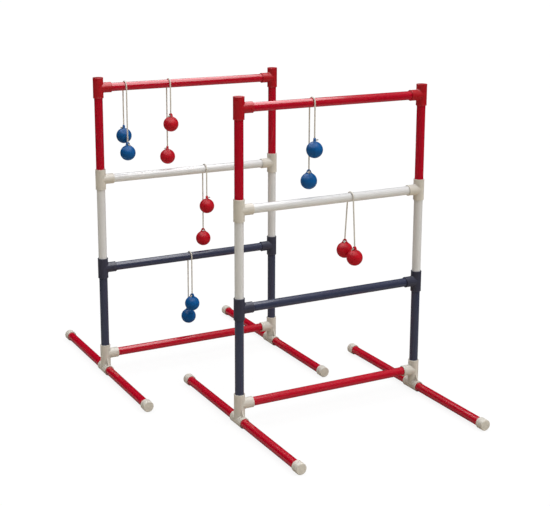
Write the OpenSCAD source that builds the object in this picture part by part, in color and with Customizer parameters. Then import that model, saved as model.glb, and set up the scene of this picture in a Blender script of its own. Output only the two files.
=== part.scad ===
// Ladder toss set: two three-rung pipe ladders with six two-ball bolas hanging on the rungs.
// Millimetres. X runs along the rungs, Y from the front ladder to the back one, Z is up.
// The origin is on the ground, in the middle of the set.

/* [Ladders] */
// Distance between the axes of a ladder's two uprights
ladder_w = 580; // [560:5:640]
// Distance between neighbouring rung axes
rung_pitch = 275; // [270:5:300]
// Height of the ground bar's axis above the foot pipes' axis
ground_rise = 45.8; // [45:0.2:60]
// Reach of a foot from the upright's axis to the end of its cap
foot_reach = 350; // [300:5:400]
// Sideways distance of each ladder from the middle of the set
ladder_shift_x = 94.5; // [0:0.5:200]
// Distance of each ladder from the middle of the set, front to back
ladder_shift_y = 274; // [260:1:400]

/* [Pipes] */
// Outer diameter of every pipe
pipe_od = 25; // [24:0.5:25.5]
// Wall thickness of every pipe
pipe_wall = 2.4; // [1.8:0.1:3]

/* [Fittings] */
// Outer diameter of the barrels of tees and base fittings
barrel_od = 30.6; // [29:0.2:30.6]
// Outer diameter of the lips round their mouths, and of the end caps
lip_od = 31.2; // [30.8:0.2:33]
// Length of a lip
lip_len = 2.5; // [2:0.5:5]
// Half the length of a tee along its upright
tee_half = 30.5; // [30:0.5:34]
// Distance from an upright's axis to the mouth of a side branch
branch_reach = 39.5; // [38:0.5:44]
// Half the length of a base fitting along the ground
base_half = 31; // [30:0.5:36]
// Height of a base fitting's top mouth above the ground bar's axis
base_top = 30; // [26:0.5:34]
// Thickness of the webs that brace a base fitting
web_t = 4; // [3:0.5:8]
// Length of an end cap
cap_len = 25; // [20:0.5:30]
// Thickness of the closed ends of caps and top tees
end_wall = 3; // [2:0.5:4]
// Chamfer round each mouth and each closed top
rim_chamfer = 0.9; // [0.4:0.1:1.2]
// Radius round an end cap's closed end
cap_radius = 2.6; // [1:0.1:3]

/* [Bolas] */
// Diameter of a ball
ball_d = 46; // [42:0.5:47]
// Diameter of the cord
cord_d = 4; // [3.5:0.1:4.2]
// Height of the lug above the ball
lug_h = 9.5; // [9.5:0.5:12]
// Width of the lug where it meets the ball
lug_base_w = 16; // [14:0.5:18]
// Width of the lug at its crown
lug_crown_w = 11; // [11:0.5:12]
// Thickness of the lug along its window
lug_t = 7; // [6:0.5:8]
// Width of the window through the lug
window_w = 7.6; // [7.6:0.1:8]
// Diameter of the knots that stop the cord
knot_d = 6.8; // [6:0.1:6.9]
// Length of the cord's tail from the middle of its knot
tail_len = 11; // [9:0.5:13]

/* [Hidden] */
$fn = 64;

RED = "#b01026";
WHITE = "#d2cfca";
NAVY = "#27304a";
OFF_WHITE = "#cdc8bd";
BLUE = "#0e5096";
CORD = "#d8d2c6";

// Clearance round a pipe in its socket, and short of the socket's shoulder
socket_gap = 0.1;
seat_gap = 0.5;
// Distance from a fitting's centre to the shoulder of each socket
run_stop = 10;
branch_stop = 17;
pipe_id = pipe_od - 2 * pipe_wall;
socket_d = pipe_od + 2 * socket_gap;

foot_z = lip_od / 2;
ground_z = foot_z + ground_rise;
upright_x = ladder_w / 2;

// Ladders: name, place on the ground
LADDERS = [
    ["front", [ladder_shift_x, -ladder_shift_y, 0]],
    ["back", [-ladder_shift_x, ladder_shift_y, 0]]
];
// Sides of a ladder: name, direction from the middle
SIDES = [["left", -1], ["right", 1]];
// Levels above the ground bar, from the lowest: name, pipe colour, tee colour
LEVELS = [["lower", NAVY, NAVY], ["middle", WHITE, OFF_WHITE], ["top", RED, RED]];
function rung_z(level) = ground_z + (level + 1) * rung_pitch;

// Bolas: name, ladder, level, colour, place along the rung, then for the front and the rear ball:
// drop below the rung's axis, shift along the rung, shift away from the rung,
// direction in which the tail leaves its knot and its slope
BOLAS = [
    ["back_top_blue", 1, 2, BLUE, -207, [199, 0, 0, -60, -18], [151, 0, 0, 165, -10]],
    ["back_top_red", 1, 2, RED, -66, [122, 0, 0, 190, -18], [227, 0, 0, 160, -5]],
    ["back_middle_red", 1, 1, RED, 52, [115, 0, 0, -30, 10], [226, 0, 0, 80, 0]],
    ["back_lower_blue", 1, 0, BLUE, -2, [151, 0, 0, 205, -18], [201, 0, 0, 60, 0]],
    ["front_top_blue", 0, 2, BLUE, -68, [127, 0, 0, -25, 10], [219, 0, 0, -110, -10]],
    ["front_middle_red", 0, 1, RED, 59, [170, 2.5, 8.2, 175, -15], [158, -2.5, 8.2, 225, -18]]
];
// Radius of the cord's path round a rung, clear of the pipe
saddle_r = pipe_od / 2 + cord_d / 2 + 0.3;
// Height of the knot's middle above the ball's middle
knot_z = ball_d / 2 + 3.5;
// Sides of the cord's solid, and the angle between its rings round a rung
cord_sides = 8;
saddle_step = 20;

LADDER_NODES = concat(
    ["ground_bar", "foot_caps"],
    [for (s = SIDES) each [str(s[0], "_base_fitting"), str(s[0], "_foot_pipes")]],
    [for (l = LEVELS) each [
        str(l[0], "_rung"),
        for (s = SIDES) each [str(l[0], "_", s[0], "_tee"), str(l[0], "_", s[0], "_upright")]
    ]]
);

// Bodies of revolution, along +Z from the origin

module pipe(length) {
    difference() {
        cylinder(d = pipe_od, h = length);
        translate([0, 0, -1]) cylinder(d = pipe_id, h = length + 2);
    }
}

// A round barrel with a lip at its upper end, and at its lower end too if both is set
module barrel(length, both) {
    r = barrel_od / 2;
    lip_r = lip_od / 2;
    slope = lip_r - r;
    upper = [[r, length - lip_len - slope], [lip_r, length - lip_len],
        [lip_r, length - rim_chamfer], [lip_r - rim_chamfer, length]];
    lower = both ? [for (i = [3:-1:0]) [upper[i][0], length - upper[i][1]]] : [[r, 0]];
    rotate_extrude() polygon(concat([[0, 0]], lower, upper, [[0, length]]));
}

// The bore of a socket, from its shoulder to its mouth, with a narrower bore behind the shoulder
module socket_bore(stop, mouth) {
    cylinder(d = pipe_id, h = stop + 1);
    translate([0, 0, stop]) cylinder(d = socket_d, h = mouth - stop + 1);
}

// Turns a shape that stands along +Z to point along +X or -X
module toward_x(dir) {
    rotate([0, dir * 90, 0]) children();
}

// Turns a shape that stands along +Z to point along +Y or -Y
module toward_y(dir) {
    rotate([-dir * 90, 0, 0]) children();
}

// Fittings

// A tee with its branch along dir on X; a closed one has no mouth at the top
module tee(dir, closed) {
    difference() {
        union() {
            translate([0, 0, -tee_half]) barrel(2 * tee_half, true);
            toward_x(dir) barrel(branch_reach, false);
        }
        rotate([180, 0, 0]) socket_bore(run_stop, tee_half);
        if (closed) cylinder(d = pipe_id, h = tee_half - end_wall);
        else socket_bore(run_stop, tee_half);
        toward_x(dir) socket_bore(branch_stop, branch_reach);
    }
}

// A triangular web in the Y-Z plane that braces a base fitting's barrel against its foot barrel
module foot_web(dir) {
    r = barrel_od / 2;
    foot = base_half - lip_len - 1;
    rotate([90, 0, 90])
        linear_extrude(height = web_t, center = true)
            polygon([[0, 0], [dir * foot, 0], [dir * foot, r - 1],
                [dir * (r - 1), ground_rise - r / 2], [0, ground_rise - r / 2]]);
}

// A base fitting, its origin on the foot pipes' axis and its branch along dir on X
module base_fitting(dir) {
    top = ground_rise + base_top;
    difference() {
        union() {
            translate([0, -base_half, 0]) toward_y(1) barrel(2 * base_half, true);
            barrel(top, false);
            translate([0, 0, ground_rise]) toward_x(dir) barrel(branch_reach, false);
            for (side = [-1, 1]) foot_web(side);
        }
        for (side = [-1, 1]) toward_y(side) socket_bore(run_stop, base_half);
        cylinder(d = pipe_id, h = ground_rise);
        translate([0, 0, ground_rise]) socket_bore(run_stop, base_top);
        translate([0, 0, ground_rise]) toward_x(dir) socket_bore(branch_stop, branch_reach);
    }
}

// An end cap, its mouth at the origin and its closed end along +Z
module end_cap() {
    r = lip_od / 2;
    difference() {
        rotate_extrude() {
            translate([0, rim_chamfer]) square([r, cap_len - rim_chamfer - cap_radius]);
            square([r - cap_radius, cap_len]);
            translate([r - cap_radius, cap_len - cap_radius]) circle(r = cap_radius);
            polygon([[0, 0], [r - rim_chamfer, 0], [r, rim_chamfer], [0, rim_chamfer]]);
        }
        translate([0, 0, -1]) cylinder(d = socket_d, h = cap_len - end_wall + 1);
    }
}

// Pipes of a ladder, each from shoulder to shoulder

module cross_pipe(z) {
    end = upright_x - branch_stop - seat_gap;
    translate([-end, 0, z]) toward_x(1) pipe(2 * end);
}

module upright_pipe(level) {
    low = rung_z(level - 1) + run_stop + seat_gap;
    high = rung_z(level) - run_stop - seat_gap;
    translate([0, 0, low]) pipe(high - low);
}

module foot_pipes() {
    start = run_stop + seat_gap;
    for (side = [-1, 1])
        translate([0, side * start, foot_z])
            toward_y(side) pipe(foot_reach - end_wall - seat_gap - start);
}

module foot_caps() {
    for (x = [-upright_x, upright_x]) for (side = [-1, 1])
        translate([x, side * (foot_reach - cap_len), foot_z]) toward_y(side) end_cap();
}

// Bolas, in their ladder's frame

// Outline of the lug across its window, standing on the ball's middle
module lug_outline() {
    crown_z = ball_d / 2 + lug_h - lug_crown_w / 2;
    translate([0, crown_z]) circle(d = lug_crown_w);
    polygon([[-lug_base_w / 2, ball_d / 2 - 3], [lug_base_w / 2, ball_d / 2 - 3],
        [lug_crown_w / 2, crown_z], [-lug_crown_w / 2, crown_z]]);
}

// Outline of the window, which stands on the top of the ball
module window_outline() {
    arch_z = ball_d / 2 + 3.3;
    translate([0, arch_z]) circle(d = window_w);
    translate([-window_w / 2, ball_d / 2]) square([window_w, arch_z - ball_d / 2]);
}

// A moulded ball about the origin, its lug on top with the window facing along +X
module ball() {
    difference() {
        union() {
            sphere(d = ball_d);
            rotate([90, 0, 90]) linear_extrude(height = lug_t, center = true) lug_outline();
        }
        rotate([90, 0, 90]) linear_extrude(height = lug_t + 2, center = true) window_outline();
        translate([0, 0, knot_z]) cylinder(d = cord_d + 0.8, h = lug_h);
    }
}

// Middle of a bola's front (side = -1) or rear (side = 1) ball
function ball_at(b, side) =
    let (hang = b[side < 0 ? 5 : 6])
    [b[4] + hang[1], side * (saddle_r + hang[2]), rung_z(b[2]) - hang[0]];

function knot_at(b, side) = ball_at(b, side) + [0, 0, knot_z];

// The cord's route: up from the front knot, round the top of the rung, down to the rear knot
function cord_route(b) = concat(
    [knot_at(b, -1)],
    [for (a = [0:saddle_step:180]) [b[4], -saddle_r * cos(a), rung_z(b[2]) + saddle_r * sin(a)]],
    [knot_at(b, 1)]
);

function unit(v) = v / norm(v);

// A closed tube along a route that lies close to a Y-Z plane
module swept_cord(route) {
    last = len(route) - 1;
    rings = [for (i = [0:last])
        let (along = unit(route[min(i + 1, last)] - route[max(i - 1, 0)]),
            out = unit(cross([1, 0, 0], along)),
            across = cross(along, out))
        [for (k = [0:cord_sides - 1])
            route[i] + cord_d / 2 * (cos(k * 360 / cord_sides) * out + sin(k * 360 / cord_sides) * across)]];
    polyhedron(
        points = [for (ring = rings) each ring],
        faces = concat(
            [[for (k = [0:cord_sides - 1]) k]],
            [[for (k = [cord_sides - 1:-1:0]) last * cord_sides + k]],
            [for (i = [0:last - 1]) for (k = [0:cord_sides - 1])
                let (m = (k + 1) % cord_sides)
                [i * cord_sides + k, (i + 1) * cord_sides + k, (i + 1) * cord_sides + m, i * cord_sides + m]]
        )
    );
}

module bola_cord(b) {
    color(CORD) {
        swept_cord(cord_route(b));
        for (side = [-1, 1]) {
            hang = b[side < 0 ? 5 : 6];
            translate(knot_at(b, side)) {
                sphere(d = knot_d);
                rotate([0, 90 - hang[4], hang[3]]) cylinder(d = cord_d, h = tail_len);
            }
        }
    }
}

module bola_ball(b, side) {
    color(b[3]) translate(ball_at(b, side)) rotate([0, 0, b[side < 0 ? 5 : 6][3]]) ball();
}

// One named node, drawn when it is asked for
module part(name) {
    children();
}

for (lad = LADDERS) translate(lad[1]) {
    part(str(lad[0], "_ground_bar")) color(RED) cross_pipe(ground_z);
    part(str(lad[0], "_foot_caps")) color(OFF_WHITE) foot_caps();
    for (s = SIDES) {
        place = [s[1] * upright_x, 0, 0];
        part(str(lad[0], "_", s[0], "_base_fitting"))
            color(OFF_WHITE) translate(place + [0, 0, foot_z]) base_fitting(-s[1]);
        part(str(lad[0], "_", s[0], "_foot_pipes")) color(RED) translate(place) foot_pipes();
        for (level = [0:len(LEVELS) - 1]) {
            part(str(lad[0], "_", LEVELS[level][0], "_", s[0], "_tee"))
                color(LEVELS[level][2]) translate(place + [0, 0, rung_z(level)])
                    tee(-s[1], level == len(LEVELS) - 1);
            part(str(lad[0], "_", LEVELS[level][0], "_", s[0], "_upright"))
                color(LEVELS[level][1]) translate(place) upright_pipe(level);
        }
    }
    for (level = [0:len(LEVELS) - 1])
        part(str(lad[0], "_", LEVELS[level][0], "_rung"))
            color(LEVELS[level][1]) cross_pipe(rung_z(level));
}
for (b = BOLAS) translate(LADDERS[b[1]][1]) {
    part(str(b[0], "_cord")) bola_cord(b);
    part(str(b[0], "_front_ball")) bola_ball(b, -1);
    part(str(b[0], "_rear_ball")) bola_ball(b, 1);
}
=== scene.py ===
"""Looks of the ladder toss set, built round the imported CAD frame. Metres, in the frame of the CAD."""

import math

import bmesh
import bpy
import numpy as np
from mathutils import Matrix, Vector


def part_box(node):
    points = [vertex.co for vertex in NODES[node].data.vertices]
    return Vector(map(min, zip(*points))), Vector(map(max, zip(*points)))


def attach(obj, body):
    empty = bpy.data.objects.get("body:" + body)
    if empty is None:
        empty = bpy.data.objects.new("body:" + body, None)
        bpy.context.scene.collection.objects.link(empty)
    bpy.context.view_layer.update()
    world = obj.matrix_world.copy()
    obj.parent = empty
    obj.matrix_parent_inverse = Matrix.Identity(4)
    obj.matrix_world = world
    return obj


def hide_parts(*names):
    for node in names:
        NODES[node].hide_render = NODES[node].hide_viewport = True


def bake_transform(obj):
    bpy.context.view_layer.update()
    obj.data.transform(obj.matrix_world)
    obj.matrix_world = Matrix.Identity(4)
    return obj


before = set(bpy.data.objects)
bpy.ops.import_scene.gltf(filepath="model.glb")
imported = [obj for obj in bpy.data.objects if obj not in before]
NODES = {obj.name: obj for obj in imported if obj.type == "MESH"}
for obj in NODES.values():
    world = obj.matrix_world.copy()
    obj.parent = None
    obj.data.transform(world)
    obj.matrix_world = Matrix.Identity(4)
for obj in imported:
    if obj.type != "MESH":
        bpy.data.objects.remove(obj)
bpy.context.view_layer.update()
MM = 0.001

# ---------------------------------------------------------------- sizes that the CAD source gives too
PIPE_R = 12.5 * MM
BALL_R = 23 * MM
CORD_D = 4 * MM
SADDLE_R = PIPE_R + CORD_D / 2 + 0.3 * MM
KNOT_UP = BALL_R + 3.5 * MM
TAIL = 11 * MM
BARREL_R, LIP_R, LIP_LEN = 15.3 * MM, 15.6 * MM, 2.5 * MM
SOCKET_R, RUN_STOP, BRANCH_STOP = 12.6 * MM, 10 * MM, 17 * MM
TEE_HALF, BRANCH_REACH = 30.5 * MM, 39.5 * MM
BASE_HALF, BASE_TOP, GROUND_RISE = 31 * MM, 30 * MM, 45.8 * MM
WEB_T, CAP_LEN, END_WALL = 4 * MM, 25 * MM, 3 * MM

# Bolas: name, the rung it hangs on, colour, place along the rung, then for the front and the rear ball:
# drop below the rung's axis, shift along the rung, shift away from the rung (mm),
# direction in which the tail leaves its knot and its slope (degrees)
BOLAS = [
    ("back_top_blue", "back_top_rung", "blue", -207, (199, 0, 0, -60, -18), (151, 0, 0, 165, -10)),
    ("back_top_red", "back_top_rung", "red", -66, (122, 0, 0, 190, -18), (227, 0, 0, 160, -5)),
    ("back_middle_red", "back_middle_rung", "red", 52, (115, 0, 0, -30, 10), (226, 0, 0, 80, 0)),
    ("back_lower_blue", "back_lower_rung", "blue", -2, (151, 0, 0, 205, -18), (201, 0, 0, 60, 0)),
    ("front_top_blue", "front_top_rung", "blue", -68, (127, 0, 0, -25, 10), (219, 0, 0, -110, -10)),
    (
        "front_middle_red", "front_middle_rung", "red", 59,
        (170, 2.5, 8.2, 175, -15), (158, -2.5, 8.2, 225, -18),
    ),
]

# ---------------------------------------------------------------- camera
CAMERA_PLACE = (-1.5569, -3.0117, 1.3395)
CAMERA_YAW, CAMERA_PITCH, CAMERA_ROLL = -28.234, 12.258, 0.238
camera = bpy.data.objects.new("camera", bpy.data.cameras.new("camera"))
bpy.context.scene.collection.objects.link(camera)
camera.data.sensor_width = 36
camera.data.lens = 77.17
camera.data.shift_y = -0.12
camera.data.clip_start, camera.data.clip_end = 0.05, 500
camera.matrix_world = (
    Matrix.Translation(CAMERA_PLACE)
    @ Matrix.Rotation(math.radians(CAMERA_YAW), 4, "Z")
    @ Matrix.Rotation(math.radians(90 - CAMERA_PITCH), 4, "X")
    @ Matrix.Rotation(math.radians(CAMERA_ROLL), 4, "Z")
)
bpy.context.scene.camera = camera


# ---------------------------------------------------------------- node helpers
def node(tree, kind, inputs=None, **settings):
    n = tree.nodes.new(kind)
    for k, v in settings.items():
        setattr(n, k, v)
    for k, v in (inputs or {}).items():
        if isinstance(v, bpy.types.NodeSocket):
            tree.links.new(v, n.inputs[k])
        else:
            n.inputs[k].default_value = v
    return n


def noise(tree, place, scale, detail=2.0, stretch=None, distortion=0.0):
    """A noise from 0 to 1; stretch gives how long its grain is along X, Y and Z."""
    if stretch:
        mapping = node(tree, "ShaderNodeMapping", {"Vector": place, "Scale": [1 / s for s in stretch]})
        place = mapping.outputs["Vector"]
    inputs = {"Vector": place, "Scale": scale, "Detail": detail, "Distortion": distortion}
    return node(tree, "ShaderNodeTexNoise", inputs).outputs["Fac"]


def remap(tree, value, low, high, to_low, to_high, smooth=False):
    n = node(
        tree,
        "ShaderNodeMapRange",
        {"Value": value, "From Min": low, "From Max": high, "To Min": to_low, "To Max": to_high},
        interpolation_type="SMOOTHSTEP" if smooth else "LINEAR",
    )
    return n.outputs["Result"]


def maths(tree, operation, a, b):
    n = node(tree, "ShaderNodeMath", {0: a, 1: b}, operation=operation)
    return n.outputs[0]


def blend_colour(tree, factor, a, b):
    n = node(tree, "ShaderNodeMix", data_type="RGBA")
    for socket, v in ((n.inputs[0], factor), (n.inputs[6], a), (n.inputs[7], b)):
        if isinstance(v, bpy.types.NodeSocket):
            tree.links.new(v, socket)
        else:
            socket.default_value = v if isinstance(v, float) else (*v, 1.0)
    return n.outputs[2]


def shade(colour, by):
    """The same colour, times by."""
    return tuple(min(1.0, c * by) for c in colour)


def start_material(name):
    """A new material, its node tree, its Principled shader and the place on the object."""
    m = bpy.data.materials.new(name)
    m.use_nodes = True
    tree = m.node_tree
    tree.nodes.clear()
    shader = node(tree, "ShaderNodeBsdfPrincipled")
    node(tree, "ShaderNodeOutputMaterial", {"Surface": shader.outputs[0]})
    place = node(tree, "ShaderNodeTexCoord").outputs["Object"]
    return m, tree, shader, place


def bump(tree, shader, height, strength, distance):
    """Raises the surface by height times distance, in metres, at the given strength."""
    n = node(tree, "ShaderNodeBump", {"Height": height, "Strength": strength, "Distance": distance})
    tree.links.new(n.outputs[0], shader.inputs["Normal"])


def toward(colour, white, share):
    """The colour faded to share of itself, with some white added."""
    return tuple(share * c + white for c in colour)


def drawn(axis, length):
    """Stretch of a noise whose grain is length times as long along one axis."""
    return [length if i == axis else 1 for i in range(3)]


def pipe_material(name, colour, axis, rough):
    """Glossy extruded pipe: faint draw lines along its axis, a few hair scratches, a little mottling."""
    m, tree, shader, place = start_material(name)
    lines = noise(tree, place, 900, 3, drawn(axis, 40))
    mottle = noise(tree, place, 9, 3, drawn(axis, 4))
    hair = noise(tree, place, 420, 1, drawn(axis, 90), 0.6)
    scratch = remap(tree, hair, 0.73, 0.77, 0, 1)
    base = blend_colour(tree, remap(tree, mottle, 0.3, 0.7, 0, 1), shade(colour, 0.97), shade(colour, 1.02))
    base = blend_colour(tree, maths(tree, "MULTIPLY", scratch, 0.06), base, toward(colour, 0.2, 0.7))
    tree.links.new(base, shader.inputs["Base Color"])
    wear = remap(tree, mottle, 0.25, 0.75, rough - 0.01, rough + 0.02)
    wear = maths(tree, "ADD", wear, maths(tree, "MULTIPLY", scratch, 0.2))
    tree.links.new(wear, shader.inputs["Roughness"])
    bump(tree, shader, lines, 0.06, 0.0001)
    shader.inputs["IOR"].default_value = 1.52
    shader.inputs["Coat Weight"].default_value = 0.4
    shader.inputs["Coat Roughness"].default_value = 0.07
    return m


def moulded_material(name, colour, rough):
    """Satin injection-moulded plastic with a fine grain and slight flow marks."""
    m, tree, shader, place = start_material(name)
    grain = noise(tree, place, 1900, 2)
    flow = noise(tree, place, 45, 5, distortion=1.4)
    base = blend_colour(tree, remap(tree, flow, 0.3, 0.7, 0, 1), shade(colour, 0.96), shade(colour, 1.03))
    tree.links.new(base, shader.inputs["Base Color"])
    tree.links.new(remap(tree, flow, 0.25, 0.75, rough - 0.05, rough + 0.06), shader.inputs["Roughness"])
    bump(tree, shader, grain, 0.3, 0.00012)
    shader.inputs["IOR"].default_value = 1.5
    return m


def rubber_material(name, colour, rough):
    """Matte rubber with a pitted skin and scuffs."""
    m, tree, shader, place = start_material(name)
    pits = noise(tree, place, 1300, 3)
    cloud = noise(tree, place, 60, 5)
    scuff = remap(tree, noise(tree, place, 130, 3, (1, 5, 1.5), 2.0), 0.64, 0.74, 0, 1)
    base = blend_colour(tree, remap(tree, cloud, 0.3, 0.7, 0, 1), shade(colour, 0.9), shade(colour, 1.08))
    base = blend_colour(tree, maths(tree, "MULTIPLY", scuff, 0.15), base, toward(colour, 0.12, 0.7))
    tree.links.new(base, shader.inputs["Base Color"])
    tree.links.new(remap(tree, cloud, 0.25, 0.75, rough - 0.05, rough + 0.07), shader.inputs["Roughness"])
    bump(tree, shader, pits, 0.35, 0.00015)
    shader.inputs["IOR"].default_value = 1.5
    shader.inputs["Specular IOR Level"].default_value = 0.18
    return m


def cord_material(name, colour):
    """Braided cord yarn: fine fibres, grubby in places, with a soft sheen."""
    m, tree, shader, place = start_material(name)
    fibre = noise(tree, place, 3200, 3)
    grime = noise(tree, place, 35, 4)
    base = blend_colour(tree, remap(tree, grime, 0.35, 0.7, 0, 1), colour, shade(colour, 0.86))
    base = blend_colour(tree, remap(tree, fibre, 0.35, 0.65, 0, 1), shade(colour, 0.8), base)
    tree.links.new(base, shader.inputs["Base Color"])
    tree.links.new(remap(tree, fibre, 0.3, 0.7, 0.78, 0.95), shader.inputs["Roughness"])
    bump(tree, shader, fibre, 0.5, 0.00025)
    shader.inputs["Sheen Weight"].default_value = 0.3
    shader.inputs["Sheen Roughness"].default_value = 0.5
    return m


# ---------------------------------------------------------------- colours and materials (linear values)
RED = (0.49, 0.0008, 0.017)
WHITE = (0.74, 0.745, 0.75)
NAVY = (0.038, 0.045, 0.088)
AXES = {"x": 0, "y": 1, "z": 2}
PIPES = {
    (colour, axis): pipe_material(f"pipe_{colour}_{axis}", value, AXES[axis], rough)
    for colour, value, rough in (("red", RED, 0.2), ("white", WHITE, 0.24), ("navy", NAVY, 0.24))
    for axis in "xyz"
}
FITTINGS = {
    "red": moulded_material("fitting_red", (0.44, 0.002, 0.010), 0.3),
    "white": moulded_material("fitting_white", (0.65, 0.615, 0.55), 0.36),
    "navy": moulded_material("fitting_navy", (0.042, 0.044, 0.072), 0.32),
}
BALLS = {
    "red": rubber_material("ball_red", (0.50, 0.004, 0.015), 0.36),
    "blue": rubber_material("ball_blue", (0.002, 0.092, 0.31), 0.36),
}
YARN = cord_material("cord_yarn", (0.72, 0.69, 0.62))


# ---------------------------------------------------------------- mesh helpers
def make_piece(name, parts, material, sharp=None):
    """One object from parts, each (points, faces), smooth apart from edges past sharp degrees."""
    points, faces, count = [], [], 0
    for p, f in parts:
        points.append(np.asarray(p, float).reshape(-1, 3))
        faces += [[i + count for i in face] for face in f]
        count += len(points[-1])
    mesh = bpy.data.meshes.new(name)
    mesh.from_pydata(np.concatenate(points).tolist(), [], faces)
    mesh.update()
    mesh.polygons.foreach_set("use_smooth", [True] * len(mesh.polygons))
    if sharp:
        mesh.set_sharp_from_angle(angle=math.radians(sharp))
    mesh.materials.append(material)
    o = bpy.data.objects.new(name, mesh)
    bpy.context.scene.collection.objects.link(o)
    return o


def turns(sides):
    """Angles of points spaced evenly round a circle."""
    return np.arange(sides) * 2 * math.pi / sides


def rings_round(line, radii, out, across, sides):
    """A ring of points round each point of a line, in the plane of its directions out and across."""
    turn = turns(sides)[None, :, None]
    return line[:, None] + radii * (np.cos(turn) * out[:, None] + np.sin(turn) * across[:, None])


def skin(rings, closed_along=False, capped=True):
    """Faces that join rings of the same number of points into a tube."""
    n, m = rings.shape[:2]
    faces = []
    for i in range(n if closed_along else n - 1):
        a, b = i * m, (i + 1) % n * m
        faces += [[a + k, a + (k + 1) % m, b + (k + 1) % m, b + k] for k in range(m)]
    if capped and not closed_along:
        faces.append(list(range(m))[::-1])
        faces.append([(n - 1) * m + k for k in range(m)])
    return rings.reshape(-1, 3), faces


def unit(v):
    return v / np.linalg.norm(v, axis=-1, keepdims=True)


def along(points, closed=False):
    """Directions of a line at its points."""
    if closed:
        return unit(np.roll(points, -1, 0) - np.roll(points, 1, 0))
    d = np.empty_like(points)
    d[1:-1] = points[2:] - points[:-2]
    d[0], d[-1] = points[1] - points[0], points[-1] - points[-2]
    return unit(d)


def sweep(points, radii, sides, side_of, closed=False):
    """A tube round points, whose line never takes the direction side_of.

    radii is one number, one for each point, or one for each point and side."""
    points = np.asarray(points, float)
    tangent = along(points, closed)
    out = unit(np.cross(np.asarray(side_of, float), tangent))
    across = np.cross(tangent, out)
    radii = np.asarray(radii, float)
    if radii.ndim < 2:
        radii = np.broadcast_to(radii.reshape(-1, 1), (len(points), sides))
    return skin(rings_round(points, radii[..., None], out, across, sides), closed)


def lathe(profile, sides, capped=True):
    """Turns (radius, height) points about Z."""
    turn = turns(sides)
    p = np.asarray(profile, float)
    rings = np.stack([p[:, :1] * np.cos(turn), p[:, :1] * np.sin(turn), np.repeat(p[:, 1:], sides, 1)], -1)
    return skin(rings, capped=capped)


def moved(part, matrix):
    """A part's points after a matrix, with its faces."""
    points, faces = part
    m = np.array(matrix)
    return np.asarray(points) @ m[:3, :3].T + m[:3, 3], faces


def resample(points, step):
    """The same line with points at equal steps."""
    points = np.asarray(points, float)
    run = np.concatenate([[0], np.cumsum(np.linalg.norm(np.diff(points, axis=0), axis=1))])
    at = np.linspace(0, run[-1], max(2, round(run[-1] / step) + 1))
    return np.stack([np.interp(at, run, points[:, i]) for i in range(3)], 1), at


# ---------------------------------------------------------------- cords, knots and tails
BRAID_SIDES = 16
BRAID_STRANDS = 4
BRAID_PITCH = 3.3 * MM
BRAID_DEPTH = 0.26 * MM
CORD_STEP = 0.7 * MM
KNOT_SIZE = 0.72 * MM
KNOT_STRAND_R = 1.42 * MM
TAIL_RINGS = 12
TAIL_DROOP = 12
FRAY_STRANDS = 22
GOLDEN_TURN = 2.4


def braid(run, radius):
    """Radius at each ring and side of a braided cord, whose strands pass over and under each other."""
    turn = np.arange(BRAID_SIDES) / BRAID_SIDES * BRAID_STRANDS
    a = turn[None] + run[:, None] / BRAID_PITCH
    b = turn[None] - run[:, None] / BRAID_PITCH
    over = (np.floor(a) + np.floor(b)) % 2 < 1
    rise = np.abs(np.sin(math.pi * np.where(over, a, b))) ** 0.6
    return radius + BRAID_DEPTH * (rise - 0.6)


def cord_route(x, y, z, ends):
    """Up from the front knot, over the rung whose axis passes (x, y, z), and down to the rear knot."""
    over = np.radians(np.arange(0, 181, 4))
    arc = [(x, y - SADDLE_R * math.cos(a), z + SADDLE_R * math.sin(a)) for a in over]
    return [ends[0], *arc, ends[1]]


def knot_parts(at, heading, slope, rng):
    """A tight overhand knot with its short tail, which frays at the end."""
    at = np.asarray(at)
    t = np.linspace(0, 2 * math.pi, 60, endpoint=False)
    trefoil = [1.05 * np.sin(3 * t), np.sin(t) + 1.55 * np.sin(2 * t), np.cos(t) - 1.55 * np.cos(2 * t)]
    c, s = math.cos(heading), math.sin(heading)
    turned = np.stack(trefoil, 1) * KNOT_SIZE @ np.array([[c, s, 0], [-s, c, 0], [0, 0, 1]])
    tangent = along(turned, True)
    side = unit(np.cross(tangent, [0.31, 0.57, 0.76]))
    rings = rings_round(at + turned, KNOT_STRAND_R, side, np.cross(tangent, side), 10)
    parts = [skin(rings, True)]
    direction = np.array([math.cos(slope) * c, math.cos(slope) * s, math.sin(slope)])
    reach = np.linspace(0, TAIL * 0.62, TAIL_RINGS)
    droop = np.stack([0 * reach, 0 * reach, -(reach**2) * TAIL_DROOP], 1)
    core = at + reach[:, None] * direction + droop
    width = braid(reach, CORD_D / 2 * 0.93) * np.linspace(1, 1.1, TAIL_RINGS)[:, None]
    parts.append(sweep(core, width, BRAID_SIDES, (-s, c, 0.01)))
    level = np.array([-s, c, 0])
    up = np.cross(direction, level)
    u = np.linspace(0, 1, 6)[:, None]
    for i in range(FRAY_STRANDS):
        ring, angle = (0.45 if i % 3 else 1.0), i * GOLDEN_TURN
        offset = ring * CORD_D * 0.36 * (math.cos(angle) * level + math.sin(angle) * up)
        length = TAIL * rng.uniform(0.34, 0.5)
        curl = rng.normal(0, 0.5 * MM, 3)
        splay = offset * rng.uniform(0.5, 1.3) + curl - np.array([0, 0, 0.5 * MM])
        line = core[-3] + offset + u * direction * length + u**2 * splay
        parts.append(sweep(line, np.linspace(0.34, 0.13, 6) * MM, 5, (-s, c, 0.3)))
    return parts


# ---------------------------------------------------------------- balls
PARTING_RISE = 0.16 * MM
PARTING_DEGREES = 0.55
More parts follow.
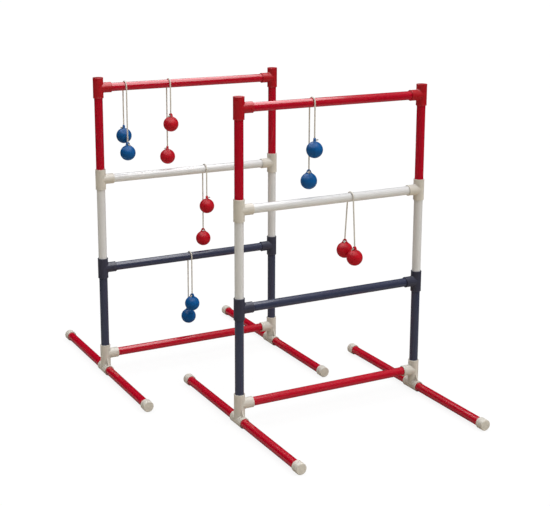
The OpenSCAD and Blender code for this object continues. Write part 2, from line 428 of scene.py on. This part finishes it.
# One leg of the lug's strap, from the ball up: place across, height, half thickness, half depth (mm)
LUG_LEG = np.array([
    (8.0, 16.8, 3.4, 5.4), (7.5, 19.0, 3.1, 5.0), (6.9, 20.7, 2.75, 4.5), (6.3, 22.0, 2.35, 4.1),
    (5.75, 23.2, 1.9, 3.75), (5.3, 24.6, 1.5, 3.55), (4.95, 25.7, 1.2, 3.5),
])


def squared(v):
    """Pushes a sine or cosine outwards, which makes a circle a rounded square."""
    return np.sign(v) * np.abs(v) ** 0.5


def ball_parts():
    """A moulded ball with its fine parting line, and a lug on top whose window faces along +X."""
    near_parting = [88.3, 89.3, 90, 90.7, 91.7]
    polar = np.radians(np.concatenate([np.arange(2.5, 87, 4.5), near_parting, np.arange(93, 179, 4.5)]))
    radius = BALL_R + PARTING_RISE * np.exp(-(((np.degrees(polar) - 90) / PARTING_DEGREES) ** 2))
    profile = np.stack([radius * np.sin(polar), radius * np.cos(polar)], 1)
    sphere = moved(lathe(profile, 72), Matrix.Rotation(math.pi / 2, 4, "Y"))
    arch = []
    for a in np.radians(np.arange(0, 181, 15)):
        top = math.sin(a) ** 2
        arch.append((4.8 * math.cos(a), 26.3 + 5.0 * math.sin(a), 1.1 + 0.25 * top, 3.5 - 0.2 * top))
    strap = np.array([*LUG_LEG, *arch, *(LUG_LEG[::-1] * [-1, 1, 1, 1])])
    line = np.stack([np.zeros(len(strap)), strap[:, 0], strap[:, 1]], 1)
    facing = np.array([1.0, 0, 0])
    normal = np.cross(facing, along(line))
    turn = turns(24)[None, :, None]
    depth = strap[:, 3, None, None] * squared(np.cos(turn)) * facing
    thickness = strap[:, 2, None, None] * squared(np.sin(turn)) * normal[:, None]
    lug = skin((line[:, None] + depth + thickness) * MM)
    around = turns(32)
    rim = np.stack([2.35 * np.cos(around), 2.35 * np.sin(around), np.full(32, 32.5 - 0.25)], 1) * MM
    return [sphere, lug, sweep(rim, 0.42 * MM, 8, (0, 0, 1), True)]


ball_meshes = {}
for colour, material in BALLS.items():
    maker = make_piece(f"ball_{colour}_mesh", ball_parts(), material, 50)
    ball_meshes[colour] = maker.data
    bpy.data.objects.remove(maker)

for index, (name, rung, colour, x, front, rear) in enumerate(BOLAS):
    low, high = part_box(rung)
    middle = (low + high) / 2
    cord_x = middle.x + x * MM
    rng = np.random.default_rng(100 + index)
    centres, knots = [], []
    for side, hang in ((-1, front), (1, rear)):
        drop, shift, away = (value * MM for value in hang[:3])
        centre = Vector((cord_x + shift, middle.y + side * (SADDLE_R + away), middle.z - drop))
        word, body = ("front", f"{name}_bola") if side < 0 else ("rear", f"{name}_rear_leg")
        heading, slope = math.radians(hang[3]), math.radians(hang[4])
        ball = bpy.data.objects.new(f"{name}_{word}_rubber_ball", ball_meshes[colour])
        bpy.context.scene.collection.objects.link(ball)
        ball.matrix_world = Matrix.Translation(centre) @ Matrix.Rotation(heading, 4, "Z")
        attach(ball, body)
        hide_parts(f"{name}_{word}_ball")
        knot_at = centre + Vector((0, 0, KNOT_UP))
        knot = make_piece(f"{name}_{word}_knot", knot_parts(knot_at, heading, slope, rng), YARN)
        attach(knot, body)
        centres.append(centre)
        knots.append(knot)
    ends = [tuple(c + Vector((0, 0, KNOT_UP))) for c in centres]
    path, run = resample(cord_route(cord_x, middle.y, middle.z, ends), CORD_STEP)
    tube = sweep(path, braid(run, CORD_D / 2), BRAID_SIDES, (1, 0, 0))
    cord = make_piece(f"{name}_braided_cord", [tube], YARN)
    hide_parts(f"{name}_cord")
    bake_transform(cord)

# ---------------------------------------------------------------- pipes, which stay the CAD's own
LEVELS = {"lower": "navy", "middle": "white", "top": "red"}
for name, o in NODES.items():
    words = name.split("_")
    colour = LEVELS.get(words[1], "red")
    axis = {"rung": "x", "bar": "x", "upright": "z", "pipes": "y"}.get(words[-1])
    if axis:
        for s in o.material_slots:
            s.link = "OBJECT"
            s.material = PIPES[colour, axis]


# ---------------------------------------------------------------- fittings
RING = 64
FILLET = 3 * MM
NEWTON_STEPS = 5
TINY = 1e-9
WELD = 2e-6
SHARP = math.radians(42)


def filleted(p):
    """Moves points on a tee's run or branch out to the filleted surface that joins the two."""
    for _ in range(NEWTON_STEPS):
        run = np.hypot(p[..., 0], p[..., 1])
        branch = np.where(p[..., 0] > TINY, np.hypot(p[..., 1], p[..., 2]), 1.0)
        run_out = p * (1, 1, 0) / run[..., None]
        branch_out = p * (0, 1, 1) / branch[..., None]
        reach = FILLET * (1 - (run_out * branch_out).sum(-1)) + TINY
        near = np.clip(1 - np.abs(run - branch) / reach, 0, 1)
        depth = np.minimum(run, branch) - BARREL_R - near**2 * reach / 4
        share = np.where(run < branch, 1 - near / 2, near / 2)[..., None]
        slope = share * run_out + (1 - share) * branch_out
        p = p - (depth / (slope**2).sum(-1))[..., None] * slope
    return p


def three_way(up, down, branch):
    """A tee's skin about its centre: a run along Z and a branch along +X, whose join is filleted.

    Each arm is a list of (radius, distance) that goes on from the end of its plain barrel."""
    c, s = np.cos(turns(RING)), np.sin(turns(RING))
    share = np.linspace(0, 1, 14)[:, None] ** 1.6
    parts = []
    for arm, place, crease in (
        (up, lambda r, d: (r * c, r * s, d + 0 * c), np.maximum(0, c)),
        (down, lambda r, d: (r * c, r * s, -d + 0 * c), np.maximum(0, c)),
        (branch, lambda r, d: (d + 0 * c, r * c, r * s), np.abs(s)),
    ):
        distance = BARREL_R * crease + share * (arm[0][1] - BARREL_R * crease)
        rings = [filleted(np.stack(place(BARREL_R, d), -1)) for d in distance]
        rings += [np.stack(place(r, d), -1) for r, d in arm[1:]]
        points, faces = skin(np.array(rings), capped=False)
        if len(arm) > 1:
            faces.append([len(points) - RING + k for k in range(RING)])
        parts.append((points, faces))
    return parts


def lip(end):
    """The lip round the end of a barrel, with its rounded edge."""
    start = end - LIP_LEN
    return [
        (BARREL_R, start - 0.35 * MM), (BARREL_R + 0.08 * MM, start - 0.15 * MM),
        (LIP_R - 0.06 * MM, start + 0.1 * MM), (LIP_R, start + 0.3 * MM),
        (LIP_R, end - 0.9 * MM), (LIP_R - 0.12 * MM, end - 0.45 * MM),
        (LIP_R - 0.45 * MM, end - 0.12 * MM), (LIP_R - 0.9 * MM, end),
    ]


def mouth(end, stop):
    """A barrel's lip, and the socket inside it down to its shoulder."""
    chamfer = 0.5 * MM
    return [*lip(end), (SOCKET_R + chamfer, end), (SOCKET_R, end - chamfer), (SOCKET_R, stop), (1 * MM, stop)]


def gate(end):
    """The dimple that the gate left in the middle of a flat end."""
    return [(2.2 * MM, end), (1.9 * MM, end - 0.3 * MM), (0.6 * MM, end - 0.3 * MM)]


def closed_end(end):
    """A barrel's lip and its flat top."""
    return [*lip(end), *gate(end)]


def web(side):
    """A web that braces a base fitting's post against its foot barrel, with slightly rounded edges."""
    foot, top = BASE_HALF - LIP_LEN - 1 * MM, GROUND_RISE - BARREL_R / 2
    outline = np.array([(0, 0), (foot, 0), (foot, BARREL_R - 1 * MM), (BARREL_R - 1 * MM, top), (0, top)])
    middle = outline.mean(0)
    rings = []
    for x, size in ((-0.5, 0.97), (-0.42, 0.992), (-0.3, 1), (0.3, 1), (0.42, 0.992), (0.5, 0.97)):
        flat = middle + (outline - middle) * size
        rings.append(np.stack([np.full(5, x * WEB_T), side * flat[:, 0], flat[:, 1]], 1))
    return skin(np.array(rings))


def base_parts():
    """A base fitting about its foot barrel's middle, and its webs, which are separate closed skins.

    The foot barrel runs along Y, the post along Z and the branch along +X."""
    middle = GROUND_RISE / 2
    foot_mouth = mouth(BASE_HALF, RUN_STOP)
    lower = three_way(foot_mouth, foot_mouth, [(BARREL_R, middle)])
    down = [(BARREL_R, GROUND_RISE - middle)]
    upper = three_way(mouth(BASE_TOP, RUN_STOP), down, mouth(BRANCH_REACH, BRANCH_STOP))
    onto_foot = Matrix(((0, 1, 0, 0), (0, 0, 1, 0), (1, 0, 0, 0), (0, 0, 0, 1)))
    lift = Matrix.Translation((0, 0, GROUND_RISE))
    welded = [moved(part, onto_foot) for part in lower] + [moved(part, lift) for part in upper]
    return welded, [web(-1), web(1)]


def cap_parts():
    """An end cap, its mouth at the origin and its closed end along +Z."""
    floor_z, bend_r = CAP_LEN - END_WALL, 2.8 * MM
    inside = [(1 * MM, floor_z), (SOCKET_R, floor_z), (SOCKET_R, 0.5 * MM), (SOCKET_R + 0.5 * MM, 0)]
    edge = [
        (LIP_R - 0.9 * MM, 0), (LIP_R - 0.45 * MM, 0.12 * MM),
        (LIP_R - 0.12 * MM, 0.45 * MM), (LIP_R, 0.9 * MM),
    ]
    bend = [
        (LIP_R - bend_r * (1 - math.cos(a)), CAP_LEN - bend_r * (1 - math.sin(a)))
        for a in np.radians(range(0, 91, 15))
    ]
    return [lathe([*inside, *edge, *bend, *gate(CAP_LEN)], RING)]


def moulding(name, welded, loose, colour):
    """A mesh for all the fittings of one kind and colour; the welded parts become one closed skin."""
    o = make_piece(name, welded + loose, FITTINGS[colour])
    b = bmesh.new()
    b.from_mesh(o.data)
    bmesh.ops.remove_doubles(b, verts=b.verts, dist=WELD)
    bmesh.ops.recalc_face_normals(b, faces=b.faces)
    b.to_mesh(o.data)
    b.free()
    o.data.set_sharp_from_angle(angle=SHARP)
    mesh = o.data
    bpy.data.objects.remove(o)
    return mesh


def fit(name, mesh, place, node_name):
    """Puts a fitting where the CAD node stands that it replaces."""
    o = bpy.data.objects.new(name, mesh)
    bpy.context.scene.collection.objects.link(o)
    o.matrix_world = place
    normals = o.modifiers.new("normals", "WEIGHTED_NORMAL")
    normals.keep_sharp = True
    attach(o, "root")
    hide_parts(node_name)


branch_mouth, run_mouth = mouth(BRANCH_REACH, BRANCH_STOP), mouth(TEE_HALF, RUN_STOP)
TEES = {
    "lower": moulding("tee_navy_mesh", three_way(run_mouth, run_mouth, branch_mouth), [], "navy"),
    "middle": moulding("tee_white_mesh", three_way(run_mouth, run_mouth, branch_mouth), [], "white"),
    "top": moulding("tee_red_mesh", three_way(closed_end(TEE_HALF), run_mouth, branch_mouth), [], "red"),
}
BASE = moulding("base_mesh", *base_parts(), "white")
CAP = moulding("cap_mesh", cap_parts(), [], "white")

for ladder in ("front", "back"):
    for side, turned in (("left", 0), ("right", math.pi)):
        low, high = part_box(f"{ladder}_lower_{side}_upright")
        post = (low + high) / 2
        inward = Matrix.Rotation(turned, 4, "Z")
        for level, colour in LEVELS.items():
            low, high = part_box(f"{ladder}_{level}_rung")
            place = Matrix.Translation((post.x, post.y, (low.z + high.z) / 2)) @ inward
            stood_for = f"{ladder}_{level}_{side}_tee"
            fit(f"{ladder}_{level}_{side}_moulded_tee", TEES[level], place, stood_for)
        place = Matrix.Translation((post.x, post.y, LIP_R)) @ inward
        fit(f"{ladder}_{side}_moulded_base", BASE, place, f"{ladder}_{side}_base_fitting")
        low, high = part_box(f"{ladder}_foot_caps")
        for word, y, sign in (("front", low.y + CAP_LEN, 1), ("rear", high.y - CAP_LEN, -1)):
            place = Matrix.Translation((post.x, y, LIP_R)) @ Matrix.Rotation(sign * math.pi / 2, 4, "X")
            fit(f"{ladder}_{side}_{word}_cap", CAP, place, f"{ladder}_foot_caps")

# ---------------------------------------------------------------- floor and light
FLOOR_R, FLOOR_HUB_R, FLOOR_GAP = 90, 0.01, 0.3 * MM
# The camera sees the floor as nearly white. Diffuse rays meet a warm grey, and glossy rays meet a dark
# grey that fades to black away from the middle.
floor_material = bpy.data.materials.new("studio_floor")
floor_material.use_nodes = True
floor_material.cycles.emission_sampling = "NONE"
tree = floor_material.node_tree
tree.nodes.clear()
ray = node(tree, "ShaderNodeLightPath").outputs
place = node(tree, "ShaderNodeTexCoord").outputs["Object"]
distance = node(tree, "ShaderNodeVectorMath", {0: place}, operation="LENGTH").outputs["Value"]
mirrored = blend_colour(tree, remap(tree, distance, 0.8, 1.8, 0, 1, True), (0.2, 0.2, 0.2), (0, 0, 0))
bounce = blend_colour(tree, ray["Is Glossy Ray"], (0.57, 0.51, 0.41), mirrored)
paint = node(tree, "ShaderNodeBsdfDiffuse", {"Color": bounce})
glow = node(tree, "ShaderNodeEmission", {"Strength": 0.87})
veil = node(tree, "ShaderNodeBsdfDiffuse", {"Color": (0.12, 0.12, 0.12, 1)})
white = node(tree, "ShaderNodeAddShader", {0: glow.outputs[0], 1: veil.outputs[0]})
inputs = {0: ray["Is Camera Ray"], 1: paint.outputs[0], 2: white.outputs[0]}
surface = node(tree, "ShaderNodeMixShader", inputs)
node(tree, "ShaderNodeOutputMaterial", {"Surface": surface.outputs[0]})
outer_ring = lathe([(FLOOR_HUB_R, 0), (FLOOR_R, 0)], RING, capped=False)
hub = [(FLOOR_HUB_R * math.cos(a), FLOOR_HUB_R * math.sin(a), 0) for a in turns(RING)]
floor = make_piece("studio_floor", [outer_ring, (hub, [list(range(RING))])], floor_material)
floor.location.z = -FLOOR_GAP

world = bpy.data.worlds.new("studio")
bpy.context.scene.world = world
world.use_nodes = True
world.cycles.sampling_method = "NONE"
tree = world.node_tree
tree.nodes.clear()
place = node(tree, "ShaderNodeTexCoord").outputs["Generated"]
height = node(tree, "ShaderNodeSeparateXYZ", {0: place}).outputs["Z"]
ray = node(tree, "ShaderNodeLightPath").outputs
gloss = remap(tree, height, 0.5, 0.8, 0.0, 0.2, True)
unseen = node(tree, "ShaderNodeMix", {0: ray["Is Glossy Ray"], 2: 0.07, 3: gloss}).outputs[0]
level = node(tree, "ShaderNodeMix", {0: ray["Is Camera Ray"], 2: unseen, 3: 1.0}).outputs[0]
background = node(tree, "ShaderNodeBackground", {"Color": (1, 1, 1, 1), "Strength": level})
node(tree, "ShaderNodeOutputWorld", {"Surface": background.outputs[0]})


def fill(name, azimuth, elevation, strength, angle):
    """A broad sun that shines from azimuth and elevation, and leaves no highlight."""
    light = bpy.data.lights.new(name, "SUN")
    light.energy = strength
    light.angle = math.radians(angle)
    o = bpy.data.objects.new(name, light)
    bpy.context.scene.collection.objects.link(o)
    a, e = math.radians(azimuth), math.radians(elevation)
    source = Vector((math.sin(a) * math.cos(e), -math.cos(a) * math.cos(e), math.sin(e)))
    o.rotation_mode = "QUATERNION"
    o.rotation_quaternion = source.to_track_quat("Z", "Y")
    o.visible_glossy = False


fill("overhead", 0, 90, 2.95, 94)
fill("fill_right", 42, 34, 1.15, 60)
fill("fill_back", 170, 25, 0.5, 70)

softbox = bpy.data.lights.new("softbox", "AREA")
softbox.shape = "RECTANGLE"
softbox.size, softbox.size_y = 1.7, 2.0
softbox.energy = 44
lamp = bpy.data.objects.new("softbox", softbox)
bpy.context.scene.collection.objects.link(lamp)
lamp.location = (-0.3, 0.15, 1.6)
lamp.visible_camera = False
lamp.visible_diffuse = False

bpy.context.scene.view_settings.view_transform = "Standard"
bpy.context.scene.view_settings.look = "None"
